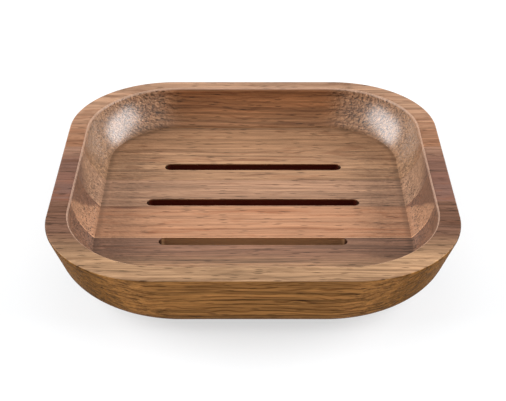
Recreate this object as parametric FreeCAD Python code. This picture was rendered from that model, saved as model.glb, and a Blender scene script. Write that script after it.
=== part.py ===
import FreeCAD, Part
import math
import os

# Square wooden soap dish, in millimetres, +Z up.
# Four hardwood staves are edge-glued into one blank, which is carved into a shallow tray with three drain
# slots. Four rubber bumpers under the corners hold it off the worktop, so that the slots can drain.
# The origin is on the worktop, under the middle of the dish. The front of the dish faces -Y.

# Blank and outer form
dish_side = 127.7
wood_height = 18.7
rim_corner_radius = 34.4
base_inset = 3.2
base_corner_radius = 43.2
base_rounding = 7.5
rim_outer_easing = 0.5

# Tray: tray_setback is how far its middle lies behind the middle of the blank
rim_width = 6.45
tray_corner_radius = 30.8
tray_setback = 1.3
tray_depth = 13.3
cove_run = 6.8
cove_sag = 1.25
rim_inner_easing = 1.0

# Drain slots
slot_width = 4.1
slot_pitch = 23.4
back_slot_length = 61.6
middle_slot_length = 71.1
front_slot_length = 60.1
slot_easing = 0.1

# Glue joints: joint_land is the wood left between a slot's edge and the joint beside it
joint_land = 0.6
rear_middle_stave_width = 17.0
glue_film = 0.12

# Bumpers
bumper_diameter = 9.0
bumper_face_diameter = 7.6
bumper_height = 3.1
bumper_easing = 0.5
bumper_setback = 17.0

# How far a cutting solid runs past what it cuts
overrun = 5.0

# Levels and places that follow from the sizes above
half_side = dish_side / 2
base_level = bumper_height
rim_level = base_level + wood_height
floor_level = rim_level - tray_depth
tray_core = half_side - rim_width - tray_corner_radius
middle_joint = -slot_width / 2 - joint_land
front_joint = -slot_pitch + slot_width / 2 + joint_land
rear_joint = middle_joint + rear_middle_stave_width


def point(x, y, z):
    return FreeCAD.Vector(x, y, z)


def turned(shape, angle):
    """A copy of the shape, turned about the dish's upright axis."""
    copy = shape.copy()
    copy.rotate(point(0, 0, 0), point(0, 0, 1), angle)
    return copy


def only_solid(shape):
    """The one solid of a boolean's result, with its seams merged."""
    return shape.removeSplitter().Solids[0]


def rounded_square(half, radius, level):
    """A closed wire round a square with rounded corners, at one height."""
    core = half - radius
    bulge = core + radius * math.cos(math.radians(45))
    edges = []
    for quarter in range(4):
        side = Part.LineSegment(point(half, -core, level), point(half, core, level)).toShape()
        corner = Part.Arc(
            point(half, core, level), point(bulge, bulge, level), point(core, half, level)
        ).toShape()
        edges.append(turned(side, 90 * quarter))
        edges.append(turned(corner, 90 * quarter))
    return Part.Wire(edges)


def eased(solid, radius, wanted):
    """Rounds over every edge of the solid that the test picks."""
    return solid.makeFillet(radius, [edge for edge in solid.Edges if wanted(edge.BoundBox)])


def carved_outside():
    """The blank after its outside is cut: drafted sides, a rounded-under base and an eased rim."""
    base = rounded_square(half_side - base_inset, base_corner_radius, base_level)
    rim = rounded_square(half_side, rim_corner_radius, rim_level)
    block = Part.makeLoft([base, rim], True, True)
    middle_level = base_level + wood_height / 2
    block = eased(block, base_rounding, lambda box: box.ZMax < middle_level)
    return eased(block, rim_outer_easing, lambda box: box.ZMin > middle_level)


def cove_profile():
    """One side of the tray from its core outwards, in the XZ plane: flat floor, hollow wall, open top."""
    rim_reach = tray_corner_radius
    floor_reach = rim_reach - cove_run
    slant = math.hypot(cove_run, tray_depth)
    middle_reach = (rim_reach + floor_reach) / 2 + cove_sag * tray_depth / slant
    middle_level = (rim_level + floor_level) / 2 - cove_sag * cove_run / slant
    top_level = rim_level + overrun
    floor_middle = point(0, 0, floor_level)
    floor_edge = point(floor_reach, 0, floor_level)
    rim_edge = point(rim_reach, 0, rim_level)
    top_edge = point(rim_reach, 0, top_level)
    top_middle = point(0, 0, top_level)
    hollow = Part.Arc(floor_edge, point(middle_reach, 0, middle_level), rim_edge)
    edges = [
        Part.LineSegment(floor_middle, floor_edge).toShape(),
        hollow.toShape(),
        Part.LineSegment(rim_edge, top_edge).toShape(),
        Part.LineSegment(top_edge, top_middle).toShape(),
        Part.LineSegment(top_middle, floor_middle).toShape(),
    ]
    return Part.Face(Part.Wire(edges))


def tray_cut():
    """What the cutter takes out of the blank: the cove runs along four sides and turns round four corners."""
    profile = cove_profile()
    core_side = 2 * tray_core
    core = Part.makeBox(
        core_side, core_side, tray_depth + overrun, point(-tray_core, -tray_core, floor_level)
    )
    side = profile.copy()
    side.translate(point(tray_core, -tray_core, 0))
    side = side.extrude(point(0, core_side, 0))
    corner = profile.copy()
    corner.translate(point(tray_core, tray_core, 0))
    corner = corner.revolve(point(tray_core, tray_core, 0), point(0, 0, 1), 90)
    pieces = []
    for quarter in range(4):
        pieces.append(turned(side, 90 * quarter))
        pieces.append(turned(corner, 90 * quarter))
    cut = only_solid(core.multiFuse(pieces))
    cut.translate(point(0, tray_setback, 0))
    return cut


def slot_cut(length, place):
    """One drain slot with round ends, as left by a straight router bit."""
    radius = slot_width / 2
    straight = length - slot_width
    depth = rim_level - base_level + 2 * overrun
    foot = base_level - overrun
    cut = Part.makeBox(straight, slot_width, depth, point(-straight / 2, place - radius, foot))
    ends = [
        Part.makeCylinder(radius, depth, point(side * straight / 2, place, foot)) for side in (-1, 1)
    ]
    return only_solid(cut.multiFuse(ends))


def carved_dish():
    """The whole carved blank, before it is parted at its glue joints."""
    dish = carved_outside().cut(tray_cut())
    rim_middle = half_side - rim_width / 2
    dish = eased(
        dish,
        rim_inner_easing,
        lambda box: box.ZMin > rim_level - rim_outer_easing / 2 and box.XMax < rim_middle
        and box.XMin > -rim_middle and box.YMax < rim_middle and box.YMin > -rim_middle,
    )
    lengths = (back_slot_length, middle_slot_length, front_slot_length)
    places = (slot_pitch, 0, -slot_pitch)
    for length, place in zip(lengths, places):
        dish = dish.cut(slot_cut(length, place))
    slot_reach = max(lengths) / 2 + slot_width
    slot_span = slot_pitch + slot_width
    for level in (floor_level, base_level):
        dish = eased(
            dish,
            slot_easing,
            lambda box: abs(box.ZMin - level) < slot_easing and abs(box.ZMax - level) < slot_easing
            and box.XMax < slot_reach and box.XMin > -slot_reach
            and box.YMax < slot_span and box.YMin > -slot_span,
        )
    return dish


def slab(front, rear):
    """Everything between two upright planes across the grain joints."""
    reach = half_side + overrun
    tall = rim_level + 2 * overrun
    return Part.makeBox(2 * reach, rear - front, tall, point(-reach, front, -overrun))


def bumper(x, y):
    """A stick-on rubber bumper: wide where it is stuck to the wood, eased where it meets the worktop."""
    foot = Part.makeCone(
        bumper_face_diameter / 2, bumper_diameter / 2, bumper_height, point(x, y, 0), point(0, 0, 1)
    )
    return eased(foot, bumper_easing, lambda box: box.ZMax < bumper_height / 2)


def all_pieces():
    """Every separate piece of the dish, by name."""
    dish = carved_dish()
    half_film = glue_film / 2
    outside = half_side + overrun
    staves = {
        "back_stave": (rear_joint + half_film, outside),
        "rear_middle_stave": (middle_joint + half_film, rear_joint - half_film),
        "front_middle_stave": (front_joint + half_film, middle_joint - half_film),
        "front_stave": (-outside, front_joint - half_film),
        "rear_glue_line": (rear_joint - half_film, rear_joint + half_film),
        "middle_glue_line": (middle_joint - half_film, middle_joint + half_film),
        "front_glue_line": (front_joint - half_film, front_joint + half_film),
    }
    pieces = {name: dish.common(slab(front, rear)) for name, (front, rear) in staves.items()}
    bumper_place = half_side - base_inset - base_rounding - bumper_setback
    for end, y in (("front", -bumper_place), ("back", bumper_place)):
        for hand, x in (("left", -bumper_place), ("right", bumper_place)):
            pieces[f"{end}_{hand}_bumper"] = bumper(x, y)
    return pieces


os.makedirs("parts", exist_ok=True)
for name, shape in all_pieces().items():
    print(name, "solids", len(shape.Solids), "volume", round(shape.Volume, 1), "valid", shape.isValid())
    shape.exportStep(f"parts/{name}.step")
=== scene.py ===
import math

import bpy
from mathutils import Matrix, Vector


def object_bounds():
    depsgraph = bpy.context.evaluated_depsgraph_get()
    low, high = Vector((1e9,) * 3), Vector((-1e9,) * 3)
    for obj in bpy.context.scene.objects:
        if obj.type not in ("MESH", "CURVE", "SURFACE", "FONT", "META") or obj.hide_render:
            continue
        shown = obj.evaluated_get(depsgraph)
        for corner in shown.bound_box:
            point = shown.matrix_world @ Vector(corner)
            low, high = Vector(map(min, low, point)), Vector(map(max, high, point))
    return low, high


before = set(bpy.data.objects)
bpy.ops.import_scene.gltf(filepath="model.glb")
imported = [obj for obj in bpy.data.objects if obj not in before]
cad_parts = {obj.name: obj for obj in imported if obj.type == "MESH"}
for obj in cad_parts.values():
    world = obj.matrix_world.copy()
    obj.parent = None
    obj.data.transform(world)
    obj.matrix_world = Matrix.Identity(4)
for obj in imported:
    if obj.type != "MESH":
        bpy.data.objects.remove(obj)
size_at_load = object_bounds()

# Back stave
# The widest strip of the blank: pale tan hardwood with its grain along X, sawn, glued to the next strip and
# carved with it. It holds the back slot and the two back corners. The tray is lacquered, the outside only oiled.
mm_per_metre = 1000.0
rim_level = size_at_load[1][2]
floor_level = 0.0085
tray_core = 0.0266
tray_setback = 0.0013
rim_reach = 0.0308
floor_reach = 0.024
outside_reach = 0.0335
slot_half_width = 0.00215


def add(tree, kind, inputs=None, **settings):
    """One shader node, with its settings and its inputs wired or set."""
    node = tree.nodes.new(kind)
    for name, value in settings.items():
        setattr(node, name, value)
    for socket, value in (inputs or {}).items():
        if isinstance(value, bpy.types.NodeSocket):
            tree.links.new(value, node.inputs[socket])
        else:
            node.inputs[socket].default_value = value
    return node


def calc(tree, operation, *values):
    """One step of arithmetic on values that vary over the wood."""
    return add(tree, "ShaderNodeMath", dict(enumerate(values)), operation=operation).outputs[0]


def vector(tree, operation, first, second):
    """One step of arithmetic on places or directions."""
    return add(tree, "ShaderNodeVectorMath", {0: first, 1: second}, operation=operation).outputs[0]


def stretched(tree, position, repeats, seed):
    """Coordinates in which a pattern is drawn out along the grain: its repeats per unit of X, Y and Z."""
    return vector(tree, "ADD", vector(tree, "MULTIPLY", position, repeats), seed)


def noise(tree, place, detail, roughness, output="Fac"):
    """A cloudy pattern between 0 and 1."""
    return add(
        tree, "ShaderNodeTexNoise",
        {"Vector": place, "Scale": 1.0, "Detail": detail, "Roughness": roughness},
    ).outputs[output]


def eased_step(tree, value, low, high):
    """Runs smoothly from 0 to 1 as the value goes from low to high."""
    return add(
        tree, "ShaderNodeMapRange",
        {"Value": value, "From Min": low, "From Max": high, "To Min": 0.0, "To Max": 1.0},
        interpolation_type="SMOOTHSTEP",
    ).outputs["Result"]


def new_group(name, inputs, outputs):
    """A shader node group with named sockets, and its input and output nodes."""
    group = bpy.data.node_groups.new(name, "ShaderNodeTree")
    for label, kind in inputs:
        group.interface.new_socket(label, in_out="INPUT", socket_type=kind)
    for label in outputs:
        group.interface.new_socket(label, in_out="OUTPUT", socket_type="NodeSocketFloat")
    return group, group.nodes.new("NodeGroupInput").outputs, group.nodes.new("NodeGroupOutput").inputs


# Where on the carved dish a point lies: on the oiled outside, in the tray, on the tray's wall, on the eased edge
# between rim and tray, where a pale line is painted as a highlight, or in the crease round the floor, where a
# darker band is painted as shade. A point's reach is its distance from the square core of the tray.
side_lean = -0.45
side_blur = (-0.0003, 0.0003)
rim_blur = (0.00005, 0.0003)
underside_level = 0.0043
tray_edge = (rim_reach + 0.0002, rim_reach - 0.0004)
wall_foot = (floor_reach, floor_reach + 0.0015)
highlight_inner = (rim_reach - 0.0002, rim_reach)
highlight_outer = (rim_reach + 0.0005, rim_reach + 0.0002)
highlight_height = (rim_level - 0.0011, rim_level - 0.0007)
crease_inner = (floor_reach - 0.0024, floor_reach - 0.0006)
crease_outer = (floor_reach + 0.0012, floor_reach + 0.0002)
crease_level = floor_level - 0.0002

form, form_given, form_out = new_group(
    "Dish form", [("Position", "NodeSocketVector")], ("Outside", "Tray", "Wall", "Edge Highlight", "Crease Shade")
)
spot = add(form, "ShaderNodeSeparateXYZ", {0: form_given["Position"]}).outputs
past_core = [
    calc(form, "MAXIMUM", calc(form, "SUBTRACT", calc(form, "ABSOLUTE", along), tray_core), 0.0)
    for along in (spot["X"], calc(form, "SUBTRACT", spot["Y"], tray_setback))
]
reach = calc(form, "SQRT", calc(form, "ADD", *(calc(form, "MULTIPLY", past, past) for past in past_core)))
below_rim = calc(form, "SUBTRACT", rim_level, spot["Z"])
past_wall = calc(form, "SUBTRACT", reach, calc(form, "MULTIPLY_ADD", below_rim, side_lean, outside_reach))
outside = calc(
    form, "MULTIPLY", eased_step(form, past_wall, *side_blur), eased_step(form, below_rim, *rim_blur)
)
outside = calc(form, "MAXIMUM", outside, calc(form, "LESS_THAN", spot["Z"], underside_level))
tray = calc(form, "MULTIPLY", eased_step(form, reach, *tray_edge), calc(form, "SUBTRACT", 1.0, outside))
wall = calc(form, "MULTIPLY", eased_step(form, reach, *wall_foot), tray)
# painted highlight: a pale line along the eased edge between rim and tray
edge_highlight = calc(
    form, "MULTIPLY", eased_step(form, reach, *highlight_inner), eased_step(form, reach, *highlight_outer)
)
edge_highlight = calc(form, "MULTIPLY", edge_highlight, eased_step(form, spot["Z"], *highlight_height))
# painted shade: a darker band in the crease round the floor, where the wall meets it
crease_shade = calc(
    form, "MULTIPLY", eased_step(form, reach, *crease_inner), eased_step(form, reach, *crease_outer)
)
crease_shade = calc(form, "MULTIPLY", crease_shade, calc(form, "GREATER_THAN", spot["Z"], crease_level))
for label, value in (
    ("Outside", outside), ("Tray", tray), ("Wall", wall), ("Edge Highlight", edge_highlight), ("Crease Shade", crease_shade),
):
    form.links.new(value, form_out[label])

# The figure of the wood, worked out in the solid, so that it runs through every carved face: growth rings round
# a pith line along X, broad bands, wavy dark dashes, fibres, and pores that are long along the grain.
# Its places are in millimetres.
figure_sockets = [
    ("Position", "NodeSocketVector"), ("Pith", "NodeSocketVector"), ("Seed", "NodeSocketVector"),
    ("Ring Width", "NodeSocketFloat"), ("Dash Gap", "NodeSocketFloat"),
]
grain, given, grain_out = new_group(
    "Wood figure", figure_sockets, ("Rings", "Bands", "Dashes", "Fibre", "Pores", "Cloud", "Relief")
)
ripple_reach = 5.0
band_repeats = 0.2
closed_pores = 0.4
pore_depth = 0.5


def streaks(place, repeats, detail, roughness, output="Fac"):
    """A cloudy pattern of the figure, with its repeats per millimetre on X, Y and Z."""
    return noise(grain, stretched(grain, place, repeats, given["Seed"]), detail, roughness, output)


def swing(repeats, detail, width):
    """How far the grain swings off its straight line: up to half the width to each side."""
    off_line = vector(grain, "SUBTRACT", streaks(in_mm, repeats, detail, 0.5, "Color"), (0.5, 0.5, 0.5))
    return vector(grain, "MULTIPLY", off_line, (0.0, width, width))


def from_pith_line(place):
    """Distance of a place from the pith line."""
    across = vector(grain, "MULTIPLY", vector(grain, "SUBTRACT", place, given["Pith"]), (0.0, 1.0, 1.0))
    return add(grain, "ShaderNodeVectorMath", {0: across}, operation="LENGTH").outputs["Value"]


in_mm = vector(grain, "MULTIPLY", given["Position"], (mm_per_metre, mm_per_metre, mm_per_metre))
swayed = vector(grain, "ADD", in_mm, swing(repeats=(0.011, 0.05, 0.05), detail=2.0, width=5.0))
wavy = vector(grain, "ADD", swayed, swing(repeats=(0.07, 0.16, 0.16), detail=1.0, width=4.5))

radius = from_pith_line(swayed)
ripple = streaks(in_mm, repeats=(0.02, 0.3, 0.3), detail=2.0, roughness=0.5)
rippled_radius = calc(grain, "MULTIPLY_ADD", ripple, ripple_reach, radius)
ring_share = calc(grain, "FRACT", calc(grain, "DIVIDE", rippled_radius, given["Ring Width"]))
ring_line = calc(
    grain, "MULTIPLY", eased_step(grain, ring_share, low=0.8, high=0.94),
    eased_step(grain, ring_share, low=1.0, high=0.97),
)
ring_fade = streaks(in_mm, repeats=(0.025, 0.22, 0.22), detail=1.0, roughness=0.5)
rings = calc(grain, "MULTIPLY", ring_line, eased_step(grain, ring_fade, low=0.42, high=0.62))

band_place = add(grain, "ShaderNodeCombineXYZ", {"X": calc(grain, "MULTIPLY", radius, band_repeats)}).outputs[0]
bands = noise(grain, vector(grain, "ADD", band_place, given["Seed"]), detail=3.0, roughness=0.55)
bands = eased_step(grain, bands, low=0.3, high=0.7)

dash_share = calc(grain, "FRACT", calc(grain, "DIVIDE", from_pith_line(wavy), given["Dash Gap"]))
off_dash = calc(grain, "ABSOLUTE", calc(grain, "SUBTRACT", dash_share, 0.5))
broken = streaks(wavy, repeats=(0.08, 0.55, 0.55), detail=2.0, roughness=0.6)
dashes = calc(
    grain, "MULTIPLY", eased_step(grain, off_dash, low=0.22, high=0.06),
    eased_step(grain, broken, low=0.4, high=0.54),
)

fibre = streaks(swayed, repeats=(0.014, 0.8, 0.8), detail=4.0, roughness=0.85)
cell = add(
    grain, "ShaderNodeTexVoronoi",
    {"Vector": stretched(grain, swayed, (0.16, 1.35, 1.35), given["Seed"]), "Scale": 1.0, "Randomness": 1.0},
).outputs
cell_draw = add(grain, "ShaderNodeSeparateColor", {0: cell["Color"]}).outputs[0]
pores = calc(
    grain, "MULTIPLY", eased_step(grain, cell["Distance"], low=0.3, high=0.12),
    calc(grain, "GREATER_THAN", cell_draw, closed_pores),
)
cloud = streaks(in_mm, repeats=(0.035, 0.09, 0.09), detail=3.0, roughness=0.55)
nap = streaks(swayed, repeats=(0.6, 1.1, 1.1), detail=1.0, roughness=0.5)
relief = calc(grain, "SUBTRACT", nap, calc(grain, "MULTIPLY", pores, pore_depth))
for label, value in (
    ("Rings", rings), ("Bands", bands), ("Dashes", dashes), ("Fibre", fibre), ("Pores", pores), ("Cloud", cloud),
    ("Relief", relief),
):
    grain.links.new(value, grain_out[label])


def blend(tree, share, first, second, mode="MIX"):
    """One colour over another."""
    mix = add(tree, "ShaderNodeMix", data_type="RGBA", blend_type=mode)
    for socket, value in ((mix.inputs[0], share), (mix.inputs[6], first), (mix.inputs[7], second)):
        if isinstance(value, bpy.types.NodeSocket):
            tree.links.new(value, socket)
        else:
            socket.default_value = value
    return mix.outputs[2]


def from_srgb(red, green, blue):
    """A colour given by its screen values, made linear."""
    return [
        (c / 255 / 12.92) if c <= 10 else ((c / 255 + 0.055) / 1.055) ** 2.4 for c in (red, green, blue)
    ] + [1.0]


def stave_wood(
    name, pith, seed, ring_width, dash_gap, sap, heart, border, late, marks, fibres,
    oil=(0.75, 0.62, 0.43, 1.0), lacquered=(0.87, 0.81, 0.7, 1.0), walls=None, slot=None, edge=None,
):
    """Wood of one stave. border = (slope across, slope up, start, end) says where, in millimetres, its sapwood
    colour turns into its heartwood colour. late is the colour of its dark lines, marks how strongly bands, rings
    and dashes show, and fibres the contrast of the fibres. oil tints the outside, lacquered the tray, and walls
    the tray's walls once more. slot = (half length, place, colour) is a slot whose cut walls are painted that
    colour as the light and shade inside the slot, and edge = (place, colour) a pale strip painted along the
    stave's back edge, beside the slot, as light on the slot's far side."""
    wood = bpy.data.materials.new(name)
    wood.use_nodes = True
    tree = wood.node_tree
    tree.nodes.clear()
    coordinates = add(tree, "ShaderNodeTexCoord").outputs
    place = coordinates["Object"]
    split = add(tree, "ShaderNodeSeparateXYZ", {0: place}).outputs
    normal = add(tree, "ShaderNodeSeparateXYZ", {0: coordinates["Normal"]}).outputs
    zone = add(tree, "ShaderNodeGroup", node_tree=form)
    tree.links.new(place, zone.inputs["Position"])
    zone = zone.outputs
    figure = add(tree, "ShaderNodeGroup", node_tree=grain)
    tree.links.new(place, figure.inputs["Position"])
    for label, value in (("Pith", pith), ("Seed", seed), ("Ring Width", ring_width), ("Dash Gap", dash_gap)):
        figure.inputs[label].default_value = value
    figure = figure.outputs

    # Sapwood turns into heartwood at a sloping border that wanders a little.
    border_wander = 7.0
    slope_y, slope_z, start, end = border
    side = calc(
        tree, "ADD",
        calc(tree, "MULTIPLY", split["Y"], mm_per_metre * slope_y),
        calc(tree, "MULTIPLY", split["Z"], mm_per_metre * slope_z),
    )
    cloudy = calc(tree, "SUBTRACT", figure["Cloud"], 0.5)
    side = calc(tree, "ADD", side, calc(tree, "MULTIPLY", cloudy, border_wander))
    colour = blend(tree, eased_step(tree, side, start, end), sap, heart)

    # Dark lines show along the grain and not on end grain. The dashes are bold on the outside only.
    faint_dashes = 0.32
    end_grain = calc(tree, "MULTIPLY", normal["X"], normal["X"])
    along_grain = calc(tree, "SUBTRACT", 1.0, end_grain)
    bold = calc(tree, "MULTIPLY_ADD", zone["Outside"], 1.0 - faint_dashes, faint_dashes)
    for label, strength in zip(("Bands", "Rings", "Dashes"), marks):
        share = calc(tree, "MULTIPLY", calc(tree, "MULTIPLY", figure[label], along_grain), strength)
        share = calc(tree, "MULTIPLY", share, bold) if label == "Dashes" else share
        colour = blend(tree, share, colour, late)

    # Light and dark: fibres, weaker on the rim, then what each cause adds to or takes from the wood's lightness.
    # The crease round the floor and the foot of the outside are darkened as painted shade, and the oiled end
    # grain partly so.
    lightness = 1.05
    rim_fibres = 0.8
    corner_wall = -0.6
    off_centre = calc(tree, "ABSOLUTE", split["X"])
    near_corner = eased_step(tree, off_centre, low=0.024, high=0.038)
    # painted shade: the front-facing part of the tray's back wall, less so near its corners, is marked for a
    # darker tint
    facing_front = calc(tree, "MINIMUM", normal["Y"], 0.0)
    shaded_back_wall = calc(tree, "MULTIPLY", calc(tree, "MULTIPLY", facing_front, facing_front), zone["Tray"])
    shaded_back_wall = calc(tree, "MULTIPLY", shaded_back_wall, calc(tree, "MULTIPLY_ADD", near_corner, corner_wall, 1.0))
    open_ends = calc(tree, "MULTIPLY", figure["Pores"], end_grain)
    lacquered_end = calc(tree, "MULTIPLY", end_grain, zone["Tray"])
    # partly painted shade: oiled end grain outside is darker as it drinks more oil, and this also stands in for
    # shade on the front corners
    oiled_and_shaded_end = calc(tree, "MULTIPLY", eased_step(tree, end_grain, low=0.0, high=0.35), zone["Outside"])
    # painted shade: the outside gets darker towards its foot, where less light reaches
    shaded_foot = calc(
        tree, "MULTIPLY", eased_step(tree, split["Z"], low=0.0105, high=0.0045), zone["Outside"]
    )
    off_rim = calc(tree, "MAXIMUM", zone["Tray"], zone["Outside"])
    fibre_share = calc(tree, "MULTIPLY_ADD", off_rim, (1.0 - rim_fibres) * fibres, rim_fibres * fibres)
    off_mean = calc(tree, "SUBTRACT", figure["Fibre"], 0.5)
    shade = calc(tree, "MULTIPLY_ADD", off_mean, fibre_share, lightness)
    for cause, strength in (
        (cloudy, 0.4), (figure["Pores"], -0.6), (zone["Crease Shade"], -0.28), (open_ends, -0.45),
        (lacquered_end, -0.31), (oiled_and_shaded_end, -0.55), (shaded_foot, -0.35),
    ):
        shade = calc(tree, "MULTIPLY", shade, calc(tree, "MULTIPLY_ADD", cause, strength, 1.0))
    grey = add(tree, "ShaderNodeCombineColor", {0: shade, 1: shade, 2: shade}).outputs[0]
    colour = blend(tree, 1.0, colour, grey, "MULTIPLY")

    # Oil and lacquer tint the wood, most where it drinks them in. The front-facing part of the tray's back wall
    # gets a darker red tint as painted shade, and the oiled end grain outside a darker tint that is partly
    # painted shade.
    wall_shade_tint = (0.6, 0.42, 0.27, 1.0)
    wet_and_shaded_end = (0.88, 0.81, 0.5, 1.0)
    highlight_colour = from_srgb(206, 168, 144)
    highlight_share = 0.6
    tints = [(zone["Outside"], oil), (zone["Tray"], lacquered), (shaded_back_wall, wall_shade_tint), (oiled_and_shaded_end, wet_and_shaded_end)]
    if walls:
        tints.append((zone["Wall"], walls))
    for share, tint in tints:
        colour = blend(tree, share, colour, blend(tree, 1.0, colour, tint, "MULTIPLY"))
    # painted highlight: the eased edge between rim and tray is painted pale
    colour = blend(tree, calc(tree, "MULTIPLY", zone["Edge Highlight"], highlight_share), colour, highlight_colour)
    # painted light: a pale strip along the stave's back edge beside the front slot, as light on the slot's far
    # side
    if edge:
        edge_place, edge_light_colour = edge
        edge_blur = 0.0003
        at_edge = eased_step(tree, split["Y"], edge_place - edge_blur, edge_place)
        at_edge = calc(tree, "MULTIPLY", at_edge, eased_step(tree, split["Z"], low=0.019, high=0.012))
        at_edge = calc(tree, "MULTIPLY", at_edge, zone["Tray"])
        colour = blend(tree, at_edge, colour, edge_light_colour)

    # The lacquer is worn thin on the floor and dull on the part of the back wall that is painted darker as shade.
    floor_gloss = 0.25
    wall_dulling = -0.75
    worn_wall = calc(
        tree, "MULTIPLY_ADD", eased_step(tree, shaded_back_wall, low=0.25, high=0.7), wall_dulling, 1.0
    )
    worn_floor = calc(tree, "MULTIPLY_ADD", zone["Wall"], 1.0 - floor_gloss, floor_gloss)
    lacquer = calc(tree, "MULTIPLY", calc(tree, "MULTIPLY", zone["Tray"], worn_wall), worn_floor)
    # painted light and shade: the slot's cut walls take the given colour, which stands for the shade inside the
    # back and middle slots and the light on the far wall of the front slot, and their round ends are painted dark
    # as shadow
    if slot:
        half_length, slot_place, slot_shading_colour = slot
        slot_lip = 0.0006
        end_shadow = (half_length - 0.0016, half_length - 0.0008)
        end_colour = from_srgb(48, 24, 12)
        off_middle = calc(tree, "ABSOLUTE", calc(tree, "SUBTRACT", split["Y"], slot_place))
        in_slot = calc(tree, "LESS_THAN", off_middle, slot_half_width)
        in_slot = calc(tree, "MULTIPLY", in_slot, calc(tree, "LESS_THAN", off_centre, half_length))
        below_lip = eased_step(tree, split["Z"], floor_level, floor_level - slot_lip)
        in_slot = calc(tree, "MULTIPLY", in_slot, below_lip)
        slot_shading_colour = blend(tree, eased_step(tree, off_centre, *end_shadow), slot_shading_colour, end_colour)
        colour = blend(tree, in_slot, colour, slot_shading_colour)
        lacquer = calc(tree, "MULTIPLY", lacquer, calc(tree, "SUBTRACT", 1.0, in_slot))

    bare_roughness = 0.6
    lacquer_smoothing = -0.2
    fibre_roughness = 0.2
    smooth_relief = 0.13
    relief_depth = 0.0018
    roughness = calc(tree, "MULTIPLY_ADD", lacquer, lacquer_smoothing, bare_roughness)
    roughness = calc(tree, "MULTIPLY_ADD", figure["Fibre"], fibre_roughness, roughness)
    rough_wall = calc(tree, "MULTIPLY", zone["Wall"], near_corner)
    raised = calc(tree, "MULTIPLY_ADD", rough_wall, 1.0 - smooth_relief, smooth_relief)
    height = calc(tree, "MULTIPLY", figure["Relief"], raised)
    bumps = add(tree, "ShaderNodeBump", {"Strength": 1.0, "Distance": relief_depth, "Height": height}).outputs[0]
    gloss = add(
        tree, "ShaderNodeBsdfPrincipled",
        {"Base Color": colour, "Roughness": roughness, "IOR": 1.5, "Specular IOR Level": 0.06,
         "Coat Weight": lacquer, "Coat Roughness": 0.28, "Normal": bumps},
    ).outputs[0]
    add(tree, "ShaderNodeOutputMaterial", {"Surface": gloss})
    return wood


def dress(node, material):
    """A CAD piece keeps its own mesh and takes a material."""
    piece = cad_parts[node]
    piece.data.materials.clear()
    piece.data.materials.append(material)


dress(
    "back_stave",
    stave_wood(
        "tan back wood", pith=(0.0, 44.0, -38.0), seed=(3.1, 7.7, 1.9), ring_width=5.2, dash_gap=2.2,
        sap=from_srgb(171, 134, 107), heart=from_srgb(143, 101, 75), border=(-1.0, 3.0, 20.0, 52.0),
        late=from_srgb(100, 56, 34), marks=(0.25, 0.5, 1.0), fibres=3.4,
        # painted shade: the back slot's walls are painted near black as the shade inside it
        slot=(0.0312, 0.0234, from_srgb(66, 16, 4)),
    ),
)

# Rear middle stave
# A narrow strip of greyer, darker heartwood, glued between the back strip and the pink one. The middle slot is
# routed along its front edge.
dress(
    "rear_middle_stave",
    stave_wood(
        "grey brown wood", pith=(0.0, -30.0, 46.0), seed=(11.3, 2.4, 5.5), ring_width=4.6, dash_gap=2.2,
        sap=from_srgb(166, 127, 102), heart=from_srgb(112, 81, 68), border=(-0.5, 1.0, 12.0, 20.0),
        late=from_srgb(100, 64, 46), marks=(0.25, 0.5, 0.8), fibres=3.0, lacquered=(1.01, 1.0, 0.94, 1.0),
        # painted shade: the middle slot's walls are painted near black as the shade inside it
        slot=(0.0359, 0.0, from_srgb(74, 20, 7)),
    ),
)

# Front middle stave
# A narrow strip of pink sapwood whose upper back edge still holds a corner of purple heartwood, which shows on
# the rim. It is glued between two strips, and the floor in front of the middle slot is cut in it.
dress(
    "front_middle_stave",
    stave_wood(
        "pink sapwood", pith=(0.0, 20.0, -60.0), seed=(6.2, 13.1, 8.8), ring_width=5.8, dash_gap=2.2,
        sap=from_srgb(173, 134, 114), heart=from_srgb(112, 82, 71), border=(0.583, 0.812, 4.8, 6.4),
        late=from_srgb(136, 82, 54), marks=(0.2, 0.4, 0.8), fibres=2.1, lacquered=(1.03, 0.9, 0.69, 1.0),
    ),
)

# Front stave
# A wide strip, purple-brown at its glue joint and yellow-brown towards the front face, where the rings are cut
# nearly flat and show as wavy dark dashes. It holds the front slot and the two front corners.
dress(
    "front_stave",
    stave_wood(
        "yellow brown front wood", pith=(0.0, -74.0, 58.0), seed=(1.7, 4.9, 15.2), ring_width=3.4, dash_gap=1.5,
        sap=from_srgb(171, 134, 101), heart=from_srgb(109, 78, 62), border=(1.0, 0.6, -40.0, -24.0),
        late=from_srgb(72, 38, 16), marks=(0.2, 0.4, 0.55), fibres=4.1, oil=(0.74, 0.57, 0.31, 1.0),
        lacquered=(1.33, 1.35, 1.3, 1.0), walls=(0.92, 0.82, 0.74, 1.0),
        # painted light: the front slot's walls are painted light olive-brown as the light on its far wall, and a
        # pale strip along the back edge as the same light
        slot=(0.0304, -0.0234, from_srgb(164, 122, 86)), edge=(-0.0212, from_srgb(200, 148, 112)),
    ),
)

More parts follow.
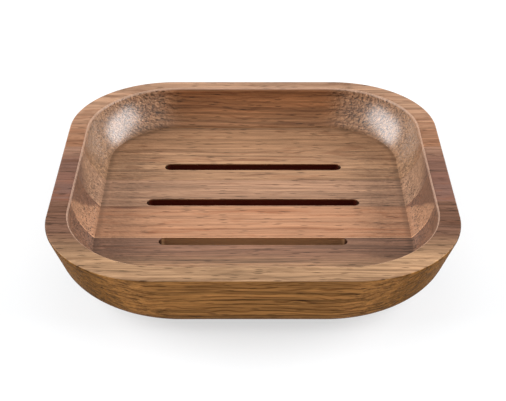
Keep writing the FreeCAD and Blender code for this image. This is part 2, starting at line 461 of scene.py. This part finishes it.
# Glue lines
# Films of set wood glue between the staves, squeezed to a hair's breadth in the press and sanded flush with the
# wood. They are mid brown in the tray and darker outside, where the oil has soaked in.
glue = bpy.data.materials.new("set wood glue")
glue.use_nodes = True
glue_tree = glue.node_tree
glue_shader = glue_tree.nodes["Principled BSDF"].inputs
glue_place = add(glue_tree, "ShaderNodeTexCoord").outputs["Object"]
glue_streaks = stretched(glue_tree, glue_place, repeats=(120.0, 500.0, 500.0), seed=(2.0, 5.0, 9.0))
glue_cloud = eased_step(glue_tree, noise(glue_tree, glue_streaks, detail=3.0, roughness=0.6), low=0.3, high=0.7)
glue_colour = blend(glue_tree, glue_cloud, from_srgb(104, 70, 48), from_srgb(134, 94, 68))
glue_zone = add(glue_tree, "ShaderNodeGroup", node_tree=form)
glue_tree.links.new(glue_place, glue_zone.inputs["Position"])
glue_colour = blend(glue_tree, glue_zone.outputs["Outside"], glue_colour, from_srgb(62, 40, 26))
glue_tree.links.new(glue_colour, glue_shader["Base Color"])
glue_shader["Specular IOR Level"].default_value = 0.1
glue_shader["Roughness"].default_value = 0.4
for node in ("rear_glue_line", "middle_glue_line", "front_glue_line"):
    dress(node, glue)

# Bumpers
# Small feet of pale moulded rubber with an adhesive back, stuck under the corners of the base so that water can
# run out of the slots.
rubber = bpy.data.materials.new("pale bumper rubber")
rubber.use_nodes = True
rubber_tree = rubber.node_tree
rubber_shader = rubber_tree.nodes["Principled BSDF"].inputs
rubber_place = add(rubber_tree, "ShaderNodeTexCoord").outputs["Object"]
rubber_specks = stretched(rubber_tree, rubber_place, repeats=(400.0, 400.0, 400.0), seed=(7.0, 1.0, 4.0))
rubber_cloud = noise(rubber_tree, rubber_specks, detail=4.0, roughness=0.6)
rubber_colour = blend(
    rubber_tree, eased_step(rubber_tree, rubber_cloud, low=0.3, high=0.7), from_srgb(184, 179, 170),
    from_srgb(204, 200, 192),
)
least_roughness = 0.4
roughness_spread = 0.3
rubber_roughness = calc(rubber_tree, "MULTIPLY_ADD", rubber_cloud, roughness_spread, least_roughness)
rubber_tree.links.new(rubber_colour, rubber_shader["Base Color"])
rubber_tree.links.new(rubber_roughness, rubber_shader["Roughness"])
for node in ("front_left_bumper", "front_right_bumper", "back_left_bumper", "back_right_bumper"):
    dress(node, rubber)

# Floor and light
# A pale worktop and backdrop colour, a large soft light over the back of the dish, and a long low light on each
# side, which the two back corners of the tray throw back as highlights.
worktop_half = 3.0
near_whiteness = 0.6
white_colour = (1.0, 1.0, 1.0, 1.0)
fill_strength = 0.22
worktop_mesh = bpy.data.meshes.new("worktop")
worktop_mesh.from_pydata(
    [(x * worktop_half, y * worktop_half, 0.0) for x, y in ((-1, -1), (1, -1), (1, 1), (-1, 1))], [],
    [(0, 1, 2, 3)],
)
worktop = bpy.data.objects.new("worktop", worktop_mesh)
bpy.context.collection.objects.link(worktop)
worktop_paint = bpy.data.materials.new("white worktop")
worktop_paint.use_nodes = True
worktop_tree = worktop_paint.node_tree
worktop_shader = worktop_tree.nodes["Principled BSDF"]
worktop_shader.inputs["Base Color"].default_value = (0.93, 0.93, 0.93, 1.0)
worktop_shader.inputs["Roughness"].default_value = 0.9
worktop_shader.inputs["Specular IOR Level"].default_value = 0.0


def seen_directly(tree):
    """1 for the rays that show a background: straight from the camera, by reflection or through glass."""
    path = add(tree, "ShaderNodeLightPath").outputs
    by_gloss = calc(tree, "MAXIMUM", path["Is Glossy Ray"], path["Is Transmission Ray"])
    return calc(tree, "MAXIMUM", path["Is Camera Ray"], by_gloss)


worktop_white = add(worktop_tree, "ShaderNodeEmission", {"Color": white_colour, "Strength": 1.0}).outputs[0]
from_dish = add(
    worktop_tree, "ShaderNodeVectorMath", {0: add(worktop_tree, "ShaderNodeTexCoord").outputs["Object"]},
    operation="LENGTH",
).outputs["Value"]
far_off = eased_step(worktop_tree, from_dish, low=0.12, high=0.4)
whiteness = calc(worktop_tree, "MULTIPLY_ADD", far_off, 1.0 - near_whiteness, near_whiteness)
worktop_mix = add(
    worktop_tree, "ShaderNodeMixShader",
    {0: calc(worktop_tree, "MULTIPLY", seen_directly(worktop_tree), whiteness), 1: worktop_shader.outputs[0],
     2: worktop_white},
).outputs[0]
worktop_tree.links.new(worktop_mix, worktop_tree.nodes["Material Output"].inputs["Surface"])
worktop_mesh.materials.append(worktop_paint)

for name, place, target, width, height, watts, shine in (
    ("top light", (0.0, 0.22, 0.75), (0.0, 0.0, 0.0), 0.6, 0.5, 0.8, (1.0, 1.0, 1.0)),
    ("left light", (-0.54, 0.05, 0.22), (0.0, 0.03, 0.01), 0.62, 0.32, 6.6, (0.94, 0.97, 1.0)),
    ("right light", (0.54, 0.05, 0.22), (0.0, 0.03, 0.01), 0.62, 0.32, 6.6, (0.94, 0.97, 1.0)),
):
    lamp = bpy.data.lights.new(name, "AREA")
    lamp.shape = "RECTANGLE"
    lamp.size = width
    lamp.size_y = height
    lamp.energy = watts
    lamp.color = shine
    stand = bpy.data.objects.new(name, lamp)
    stand.location = place
    away = [t - p for t, p in zip(target, place)]
    flat = math.hypot(away[0], away[1])
    stand.rotation_euler = (math.atan2(flat, -away[2]), 0.0, math.atan2(-away[0], away[1]))
    bpy.context.collection.objects.link(stand)

world = bpy.data.worlds.new("studio")
bpy.context.scene.world = world
world.use_nodes = True
sky = world.node_tree
sky.nodes.clear()
fill = add(sky, "ShaderNodeBackground", {"Color": white_colour, "Strength": fill_strength}).outputs[0]
white = add(sky, "ShaderNodeBackground", {"Color": white_colour, "Strength": 1.0}).outputs[0]
backdrop = add(sky, "ShaderNodeMixShader", {0: seen_directly(sky), 1: fill, 2: white}).outputs[0]
add(sky, "ShaderNodeOutputWorld", {"Surface": backdrop})

# Camera
# A long lens in front of the dish, looking down at it by about 32 degrees.
camera_tilt = 31.826
eye = bpy.data.cameras.new("camera")
eye.sensor_width = 36.0
eye.lens = 86.3
eye.clip_start = 0.01
camera = bpy.data.objects.new("camera", eye)
camera.location = (0.0, -0.34384, 0.22261)
camera.rotation_euler = (math.radians(90.0 - camera_tilt), 0.0, 0.0)
bpy.context.collection.objects.link(camera)
bpy.context.scene.camera = camera
bpy.context.scene.view_settings.view_transform = "Standard"
